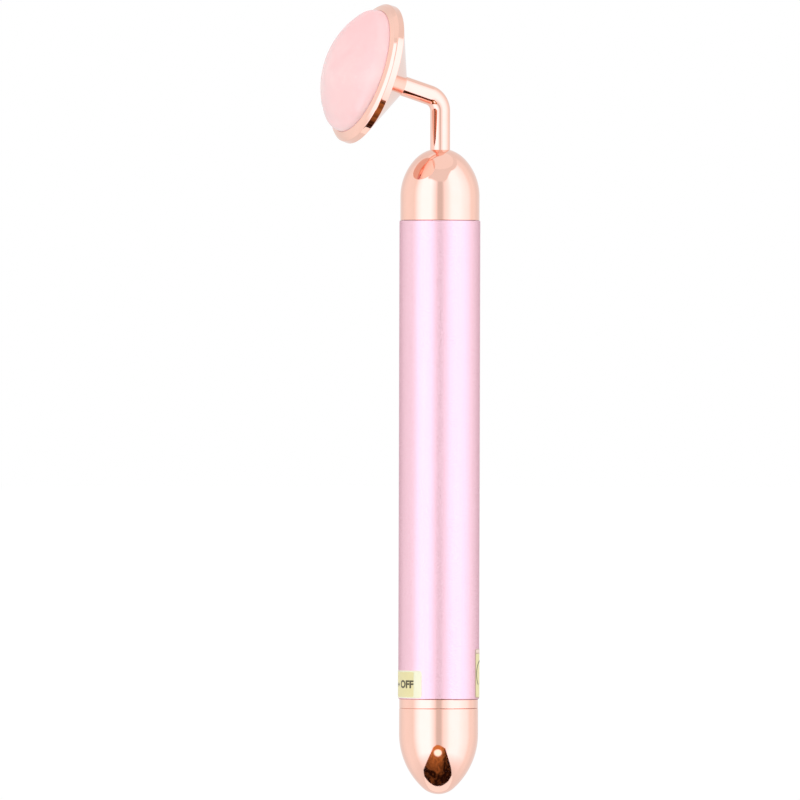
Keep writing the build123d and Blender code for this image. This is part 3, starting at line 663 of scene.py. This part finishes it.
# End cap: drawn brass shell with straight sides, curved flanks and a blunt tip, polished and plated.
# It is the battery door and the twist switch; a moulded insert is glued inside it.
cap_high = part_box("end_cap")[1]
cap_radius = cap_high.x
cap_wall = 1.0 * mm
cap_skirt = 5.2 * mm
cap_nose = 12.35 * mm
cap_tip = 4.7 * mm
skirt_end = cap_high.z - cap_skirt
rim = rounded([
    (cap_radius, skirt_end, 0),
    (cap_radius, cap_high.z, edge_round),
    (cap_radius - cap_wall, cap_high.z, bore_round),
    (cap_radius - cap_wall, skirt_end, 0),
])
rim[0] = (cap_radius, skirt_end + 2 * hold)
rim[-1] = (cap_radius - cap_wall, skirt_end + 2 * hold)
outer = domed(skirt_end, cap_radius, cap_nose, cap_tip, -1)
inner = domed(skirt_end, cap_radius, cap_nose, cap_tip, -1, cap_wall)
end_cap = turned("end_cap_shell", outer[::-1] + rim + inner, rose_gold, "none")
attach(end_cap, "cap")
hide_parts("end_cap")

# Film labels: polyester film with a printed yellow-green patch, its corners rounded, stuck round the tube.
# The clear one has an arrow and OFF; the other has a brown border, a pale strip at its top, a ring and ON.
# The print's grain is drawn coarser than real so that it shows.
film_gap = 0.01 * mm
film_thickness = 0.035 * mm
ink_gap = 0.005 * mm
ink_thickness = 0.012 * mm
corner_cut = 0.6 * mm
film_inside = tube_radius + film_gap
patch_inside = film_inside + film_thickness + ink_gap
word_inside = patch_inside + ink_thickness + ink_gap
film_grain = 0.4 * mm
ink_grain = 0.3 * mm
clear_film = grained_finish("clear_polyester_film", film_grain, ["#FFFFDC", "#FFFFE8"],
                            {"Roughness": 0.3, "IOR": 1.57, "Alpha": 0.75})
printed = {"Roughness": 0.4, "IOR": 1.57}
patch_ink = grained_finish("yellow_green_ink", film_grain, ["#DED39A", "#E6DCA6"], printed)
border_ink = grained_finish("brown_border_ink", film_grain, ["#B99A84", "#C4A892"], printed)
pale_ink = grained_finish("pale_border_ink", film_grain, ["#E2C8BC", "#EAD2C6"], printed)
olive_ink = grained_finish("dark_olive_ink", ink_grain, ["#3E3820", "#4A4328"], printed)


def wrapped(name, material, span, heights, inside, thickness, corner):
    """A thin film wrapped round the tube over a span of degrees, with round corners."""
    start, end = span
    low, high = heights
    outside = inside + thickness
    cut = degrees(corner / outside)
    corner_steps = 6
    strips = 60
    rise = [cut * (1 - cos(pi / 2 * step / corner_steps)) for step in range(corner_steps + 1)]
    turns = [start + part for part in rise]
    turns += [start + cut + (end - start - 2 * cut) * step / strips for step in range(1, strips)]
    turns += [end - part for part in reversed(rise)]
    rings = []
    for turn in turns:
        edge = min(turn - start, end - turn)
        short = 0
        if edge < cut:
            short = corner * (1 - sqrt(max(0, 1 - ((cut - edge) / cut) ** 2)))
        outward = Vector((cos(radians(turn)), sin(radians(turn)), 0))
        rings.append([size * outward + height * up for size, height in (
            (outside, low + short), (outside, high - short), (inside, high - short), (inside, low + short))])
    return skinned(name, rings, material, "lids")


def drawn_in(span, width):
    """A span of degrees made shorter at both ends by a width on the tube."""
    part = degrees(width / tube_radius)
    return span[0] + part, span[1] - part


def print_round(name, flat, turn, height):
    """A flat print given in millimetres, cut in narrow strips and bent round the tube."""
    widths = [vert.co.x for vert in flat.verts]
    strip = 0.25
    for step in range(int(min(widths) / strip) - 1, int(max(widths) / strip) + 2):
        everything = flat.verts[:] + flat.edges[:] + flat.faces[:]
        bmesh.ops.bisect_plane(flat, geom=everything, plane_co=(step * strip, 0, 0), plane_no=(1, 0, 0))
    raised = bmesh.ops.extrude_face_region(flat, geom=flat.faces[:])
    for item in raised["geom"]:
        if isinstance(item, bmesh.types.BMVert):
            item.co.z = 1
    for vert in flat.verts:
        size = word_inside + ink_thickness * vert.co.z
        angle = radians(turn) + vert.co.x * mm / word_inside
        vert.co = (size * cos(angle), size * sin(angle), height + vert.co.y * mm)
    return finish_mesh(name, flat, olive_ink)


weld = 0.0005


def lettering(words, letter_height, widen=1):
    """Words as a flat bmesh in millimetres, centred on the origin."""
    type_size = 1.4 * letter_height
    stroke_gain = 0.055 * letter_height
    curve = bpy.data.curves.new("lettering", "FONT")
    curve.body = words
    curve.align_x = "CENTER"
    curve.align_y = "CENTER"
    curve.size = type_size
    curve.offset = stroke_gain
    written = bpy.data.objects.new("lettering", curve)
    bpy.context.scene.collection.objects.link(written)
    bpy.context.view_layer.update()
    mesh = bpy.data.meshes.new_from_object(written)
    flat = bmesh.new()
    flat.from_mesh(mesh)
    bmesh.ops.remove_doubles(flat, verts=flat.verts, dist=weld)
    for vert in flat.verts:
        vert.co.x *= widen
        vert.co.z = 0
    bpy.data.objects.remove(written)
    bpy.data.curves.remove(curve)
    bpy.data.meshes.remove(mesh)
    return flat


def polygon(flat, points):
    """Adds one flat face to a print."""
    flat.faces.new([flat.verts.new((x, y, 0)) for x, y in points])


def ring_part(flat, size, line, start, end, steps=40):
    """Adds part of a flat ring to a print, in degrees."""
    for step in range(steps):
        here = radians(start + (end - start) * step / steps)
        on = radians(start + (end - start) * (step + 1) / steps)
        inside = size - line / 2
        outside = size + line / 2
        polygon(flat, [(inside * cos(here), inside * sin(here)), (outside * cos(here), outside * sin(here)),
                       (outside * cos(on), outside * sin(on)), (inside * cos(on), inside * sin(on))])
    bmesh.ops.remove_doubles(flat, verts=flat.verts, dist=weld)


off_span = (110.8, 223.4)
ring_span = (312.4, 388.8)
border = 0.25 * mm
clear_margin = 1.9 * mm
label_low, label_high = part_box("off_label")
off_low = label_low.z
off_high = label_high.z
off_row = off_low + 2.75 * mm
off_turn = 195.0
arrow_turn = 166.5
off_film = wrapped("off_label_film", clear_film, off_span, (off_low, off_high), film_inside,
                   film_thickness, corner_cut)
off_patch = wrapped("off_label_patch", patch_ink, drawn_in(off_span, clear_margin),
                    (off_low + border, off_high - border), patch_inside, ink_thickness, corner_cut / 2)
off_words = print_round("off_label_word", lettering("OFF", letter_height=1.5, widen=1.17), off_turn, off_row)
arrow = bmesh.new()
polygon(arrow, [(-1.3, -0.1), (0.6, -0.1), (0.6, 0.1), (-1.3, 0.1)])
polygon(arrow, [(0.5, -0.5), (1.4, 0), (0.5, 0.5)])
off_arrow = print_round("off_label_arrow", arrow, arrow_turn, off_row)
for piece in (off_film, off_patch, off_words, off_arrow):
    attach(piece, "handle")
    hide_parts("off_label")

ring_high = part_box("ring_label")[1].z + 0.45 * mm
strip_low = ring_high - 0.8 * mm
strip_high = ring_high - 0.15 * mm
ring_row = off_low + 4.9 * mm
ring_turn = 334.6
on_turn = 367.8
ring_film = wrapped("ring_label_film", border_ink, ring_span, (off_low, ring_high), film_inside,
                    film_thickness, corner_cut)
ring_patch = wrapped("ring_label_patch", patch_ink, drawn_in(ring_span, border),
                     (off_low + border, strip_low - 0.2 * mm), patch_inside, ink_thickness, corner_cut / 2)
ring_strip = wrapped("ring_label_strip", pale_ink, drawn_in(ring_span, border), (strip_low, strip_high),
                     patch_inside, ink_thickness, corner_cut / 3)
ring = bmesh.new()
ring_part(ring, size=2.65, line=0.32, start=-60, end=235)
polygon(ring, [(2.0, -2.35), (1.75, -1.15), (0.6, -2.1)])
ring_mark = print_round("ring_label_ring", ring, ring_turn, ring_row)
on_words = print_round("ring_label_word", lettering("ON", letter_height=1.55), on_turn, ring_row)
for piece in (ring_film, ring_patch, ring_strip, ring_mark, on_words):
    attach(piece, "handle")
    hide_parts("ring_label")

# Studio floor: a pale seamless sheet far enough below the roller for the cap to be drawn off above it.
# It keeps a soft shadow, and the camera and the mirror finishes see it as nearly white.
cap_travel = next(joint["range_m"][1] for joint in frame["joints"] if joint["name"] == "cap_pull")
floor_level = cad_box[0].z - cap_travel - 5 * mm
floor_reach = 30


def seen_white(owner):
    """A value that is 1 for rays from the camera, a mirror finish or a clear one, which see plain white."""
    path = add_node(owner, "ShaderNodeLightPath")
    seen = path.outputs["Is Camera Ray"]
    for ray in ("Is Glossy Ray", "Is Transmission Ray"):
        most = add_node(owner, "ShaderNodeMath", {0: seen, 1: path.outputs[ray]}, operation="MAXIMUM")
        seen = most.outputs["Value"]
    return seen


white_paper = new_material("white_seamless_paper")
glow_share = 0.75
share = add_node(white_paper, "ShaderNodeMath",
                 {0: seen_white(white_paper), 1: glow_share}, operation="MULTIPLY")
matt = add_node(white_paper, "ShaderNodeBsdfDiffuse", {"Color": linear("#FAFAFA")})
glow = add_node(white_paper, "ShaderNodeEmission", {"Color": (1, 1, 1, 1), "Strength": 1.15})
both = add_node(white_paper, "ShaderNodeMixShader",
                {0: share.outputs["Value"], 1: matt.outputs["BSDF"], 2: glow.outputs["Emission"]})
add_node(white_paper, "ShaderNodeOutputMaterial", {"Surface": both.outputs["Shader"]})
shape = bmesh.new()
corners = [(x * floor_reach, y * floor_reach, floor_level) for x, y in ((-1, -1), (1, -1), (1, 1), (-1, 1))]
shape.faces.new([shape.verts.new(corner) for corner in corners])
floor = finish_mesh("studio_floor", shape, white_paper)

# Light tent: a tall screen with two wide bright panels in front, lower near the middle, a grey strip between
# them and a slightly dimmer back; its cloth covers the floor. Only the mirror finishes see it.
tent_radius = 0.8
tent_top = 1.4
tent_sides = 180
cloth_level = floor_level + mm
cloth_start = 0.1
cloth_full = 0.26
panel_fade = 0.06
# The camera stands this far round from square-on to the stem's bend, towards the head's side.
view_turn = radians(21.6163)
facing = Vector((-sin(view_turn), -cos(view_turn), 0))
rightward = Vector((-facing.y, facing.x, 0))
# Each pair is an angle to the right of the camera and the height of the panels' top there.
panel_tops = ((-180, 1.14), (-47, 1.14), (-42, 0.6), (-30, 0.6), (-12, 0.52), (14, 0.5), (24, 0.6),
              (36, 0.84), (50, 1.02), (180, 1.02))


def towards(turn):
    """The level direction that is so many degrees to the right of the camera."""
    return cos(radians(turn)) * facing + sin(radians(turn)) * rightward


shape = bmesh.new()
tent_place = shape.loops.layers.uv.new("round")
columns = []
for side in range(tent_sides + 1):
    turn = 360 * side / tent_sides - 180
    for (start, start_top), (end, end_top) in zip(panel_tops, panel_tops[1:]):
        if start <= turn <= end:
            panel_top = start_top + (end_top - start_top) * (turn - start) / (end - start)
    columns.append([
        (towards(turn) * reach + height * up, (side / tent_sides, full)) for reach, height, full in (
            (cloth_start, cloth_level, 0), (cloth_full, cloth_level, 1), (tent_radius, cloth_level, 1),
            (tent_radius, panel_top, 1), (tent_radius, panel_top + panel_fade, 0),
            (tent_radius, tent_top, 0))])
for left, right in zip(columns, columns[1:]):
    for row in range(len(left) - 1):
        corners = (left[row], right[row], right[row + 1], left[row + 1])
        face = shape.faces.new([shape.verts.new(spot) for spot, place in corners])
        for loop, (spot, place) in zip(face.loops, corners):
            loop[tent_place].uv = place
tent_cloth = new_material("lit_tent_cloth")
around = add_node(tent_cloth, "ShaderNodeUVMap", uv_map="round")
turn_share = add_node(tent_cloth, "ShaderNodeSeparateXYZ", {"Vector": around.outputs["UV"]})
panel_peak = 1.8
plain_glow = 0.9
cool_gain = 1.35
panels = add_node(tent_cloth, "ShaderNodeValToRGB", {"Fac": turn_share.outputs["X"]})
# Each pair is an angle to the right of the camera and how bright the cloth is there.
stops = (
    (-180, 0.86), (-140, 0.87), (-126, 0.97), (-110, 1.02), (-80, 1.0), (-66, 1.42), (-54, 1.6),
    (-27, 1.6), (-19, 1.38), (-12, 1.15), (-5, 0.74), (6, 0.74), (14, 1.14), (23, 1.27), (33, 1.52),
    (42, 1.56), (60, 1.55), (70, 1.45), (92, 1.28), (104, 1.02), (118, 1.0), (134, 0.88), (180, 0.86),
)
ramp = panels.color_ramp
while len(ramp.elements) < len(stops):
    ramp.elements.new(0.5)
for element, (turn, strength) in zip(ramp.elements, stops):
    element.position = (turn + 180) / 360
    cool = max(strength, 1 + (strength - 1) * cool_gain)
    element.color = (strength / panel_peak, strength / panel_peak, cool / panel_peak, 1)
plain_share = plain_glow / panel_peak
plain = (plain_share, plain_share, plain_share, 1)
faded = add_node(tent_cloth, "ShaderNodeMix",
                 {0: turn_share.outputs["Y"], 6: plain, 7: panels.outputs["Color"]}, data_type="RGBA")
glow = add_node(tent_cloth, "ShaderNodeEmission", {"Color": faded.outputs[2], "Strength": panel_peak})
add_node(tent_cloth, "ShaderNodeOutputMaterial", {"Surface": glow.outputs["Emission"]})
tent = finish_mesh("light_tent", shape, tent_cloth)

# Dark board: a brown glowing screen laid below the camera. It is a painted reflection, which the cap, the
# stem and the cup mirror. Its glow turns from nearly black to amber away from the roller and stays darker
# along its right edge. It has a pale round patch that glows brighter, a painted highlight which is the
# bright spot on the cap. Only the mirror finishes see it.
board_level = floor_level + 2 * mm
# Each corner is how far it lies towards the camera and to the right, in metres.
outline = [(-0.005, -0.1), (-0.01, -0.07), (0, 0), (-0.005, 0.07), (0.01, 0.095), (0.05, 0.102), (0.2, 0.11),
           (0.32, 0.12), (0.4, 0.06), (0.44, 0.02), (0.44, -0.05), (0.35, -0.1), (0.03, -0.118)]
shape = bmesh.new()
board_place = shape.loops.layers.uv.new("along")
spots = [along * facing + side * rightward + board_level * up for along, side in outline]
face = shape.faces.new([shape.verts.new(spot) for spot in spots])
for loop, place in zip(face.loops, outline):
    loop[board_place].uv = place
bmesh.ops.triangulate(shape, faces=[face])
# Distances on the board are in metres, and right_darker is how much nearer the right edge seems.
right_start = 0.03
right_full = 0.1
right_darker = 0.15
dark_until = 0.05
amber_from = 0.3
# The board's colour is painted reflection: an emission that only the mirror finishes see.
reflection_board = new_material("painted_reflection_glow")
where = add_node(reflection_board, "ShaderNodeUVMap", uv_map="along")
along = add_node(reflection_board, "ShaderNodeSeparateXYZ", {"Vector": where.outputs["UV"]})
right_edge = add_node(reflection_board, "ShaderNodeMapRange",
                      {"Value": along.outputs["Y"], "From Min": right_start, "From Max": right_full,
                       "To Max": right_darker})
inner = add_node(reflection_board, "ShaderNodeMath",
                 {0: along.outputs["X"], 1: right_edge.outputs["Result"]}, operation="SUBTRACT")
far = add_node(reflection_board, "ShaderNodeMapRange",
               {"Value": inner.outputs["Value"], "From Min": dark_until, "From Max": amber_from})
# Noise mottles the painted reflection's glow.
mottle_size = 0.05
reflection_mottle = add_node(reflection_board, "ShaderNodeTexNoise",
                 {"Vector": where.outputs["UV"], "Scale": 1 / mottle_size, "Detail": 3, "Distortion": 1.5})
mottle = add_node(reflection_board, "ShaderNodeMath",
                  {0: reflection_mottle.outputs["Fac"], 1: far.outputs["Result"]}, operation="ADD")
share = add_node(reflection_board, "ShaderNodeMapRange",
                 {"Value": mottle.outputs["Value"], "From Min": 0.45, "From Max": 1.4})
reflection_tint = add_node(reflection_board, "ShaderNodeMix",
                 {0: share.outputs["Result"], 6: linear("#220E08"), 7: linear("#D68A4A")}, data_type="RGBA")
# Painted highlight: a pale round patch that glows up to half again as bright makes the bright spot on the
# cap.
highlight_middle = (0.25, -0.01, 0)
highlight_radius = 0.045
highlight_fade = 0.02
highlight_way = add_node(reflection_board, "ShaderNodeVectorMath",
                     {0: where.outputs["UV"], 1: highlight_middle}, operation="DISTANCE")
highlight_spot = add_node(reflection_board, "ShaderNodeMapRange",
                 {"Value": highlight_way.outputs["Value"], "From Min": highlight_radius,
                  "From Max": highlight_radius + highlight_fade, "To Min": 1, "To Max": 0})
reflection_tint = add_node(reflection_board, "ShaderNodeMix",
                 {0: highlight_spot.outputs["Result"], 6: reflection_tint.outputs[2], 7: linear("#FFFFFA")}, data_type="RGBA")
highlight_gain = add_node(reflection_board, "ShaderNodeMath",
                 {0: highlight_spot.outputs["Result"], 1: 0.5, 2: 1.0}, operation="MULTIPLY_ADD")
glow = add_node(reflection_board, "ShaderNodeEmission",
                {"Color": reflection_tint.outputs[2], "Strength": highlight_gain.outputs["Value"]})
add_node(reflection_board, "ShaderNodeOutputMaterial", {"Surface": glow.outputs["Emission"]})
board = finish_mesh("painted_reflection_board", shape, reflection_board)
for screen in (tent, board):
    screen.visible_camera = False
    screen.visible_diffuse = False
    screen.visible_transmission = False
    screen.visible_volume_scatter = False
    screen.visible_shadow = False

# Lamps and world: a large soft lamp on each side of the camera and a little above it, and one overhead.
# The world gives the even light between them, and is white for the camera and the mirror finishes.


def soft_lamp(name, width, height, power, spot):
    """A rectangular lamp that points down, which the camera and the mirror finishes don't see."""
    lamp = bpy.data.lights.new(name, "AREA")
    lamp.shape = "RECTANGLE"
    lamp.size = width
    lamp.size_y = height
    lamp.energy = power
    stand = bpy.data.objects.new(name, lamp)
    stand.location = spot
    stand.visible_camera = False
    stand.visible_glossy = False
    bpy.context.scene.collection.objects.link(stand)
    return stand


lamp_distance = 0.9
overhead_height = 1.0
for name, turn, lift in (("left_soft_lamp", -44, 0.35), ("right_soft_lamp", 50, 0.3)):
    spot = lamp_distance * towards(turn) + lift * up
    side_lamp = soft_lamp(name, width=0.6, height=0.9, power=3.0, spot=spot)
    side_lamp.rotation_euler = (-spot).to_track_quat("-Z", "Y").to_euler()
overhead_spot = (floor_level + overhead_height) * up
soft_lamp("overhead_soft_lamp", width=0.8, height=0.8, power=2.7, spot=overhead_spot)

world = bpy.data.worlds.new("studio_world")
bpy.context.scene.world = world
world.use_nodes = True
world.node_tree.nodes.clear()
even = add_node(world, "ShaderNodeBackground", {"Color": (1, 1, 1, 1), "Strength": 0.62})
white = add_node(world, "ShaderNodeBackground", {"Color": (1, 1, 1, 1), "Strength": 1.0})
both = add_node(world, "ShaderNodeMixShader",
                {0: seen_white(world), 1: even.outputs["Background"], 2: white.outputs["Background"]})
add_node(world, "ShaderNodeOutputWorld", {"Surface": both.outputs["Shader"]})

# Camera: level, three metres off, with a very long lens, which keeps the seams nearly straight.
# The middle of its picture lies left of the tube's axis and above the tube's middle.
camera_distance = 3.0
picture_width = 163.29 * mm
picture_right = -8.05 * mm
picture_up = 12.17 * mm
camera_roll = radians(0.155)
camera_data = bpy.data.cameras.new("catalogue_camera")
camera_data.sensor_width = 36
camera_data.lens = camera_data.sensor_width * camera_distance / picture_width
camera_data.clip_start = 0.05
camera_data.clip_end = 100
camera = bpy.data.objects.new("catalogue_camera", camera_data)
bpy.context.scene.collection.objects.link(camera)
camera.location = picture_right * rightward + picture_up * up + camera_distance * facing
level_view = (-facing).to_track_quat("-Z", "Y").to_matrix().to_4x4()
camera.rotation_euler = (level_view @ Matrix.Rotation(camera_roll, 4, "Z")).to_euler()
bpy.context.scene.camera = camera
bpy.context.scene.view_settings.view_transform = "Standard"
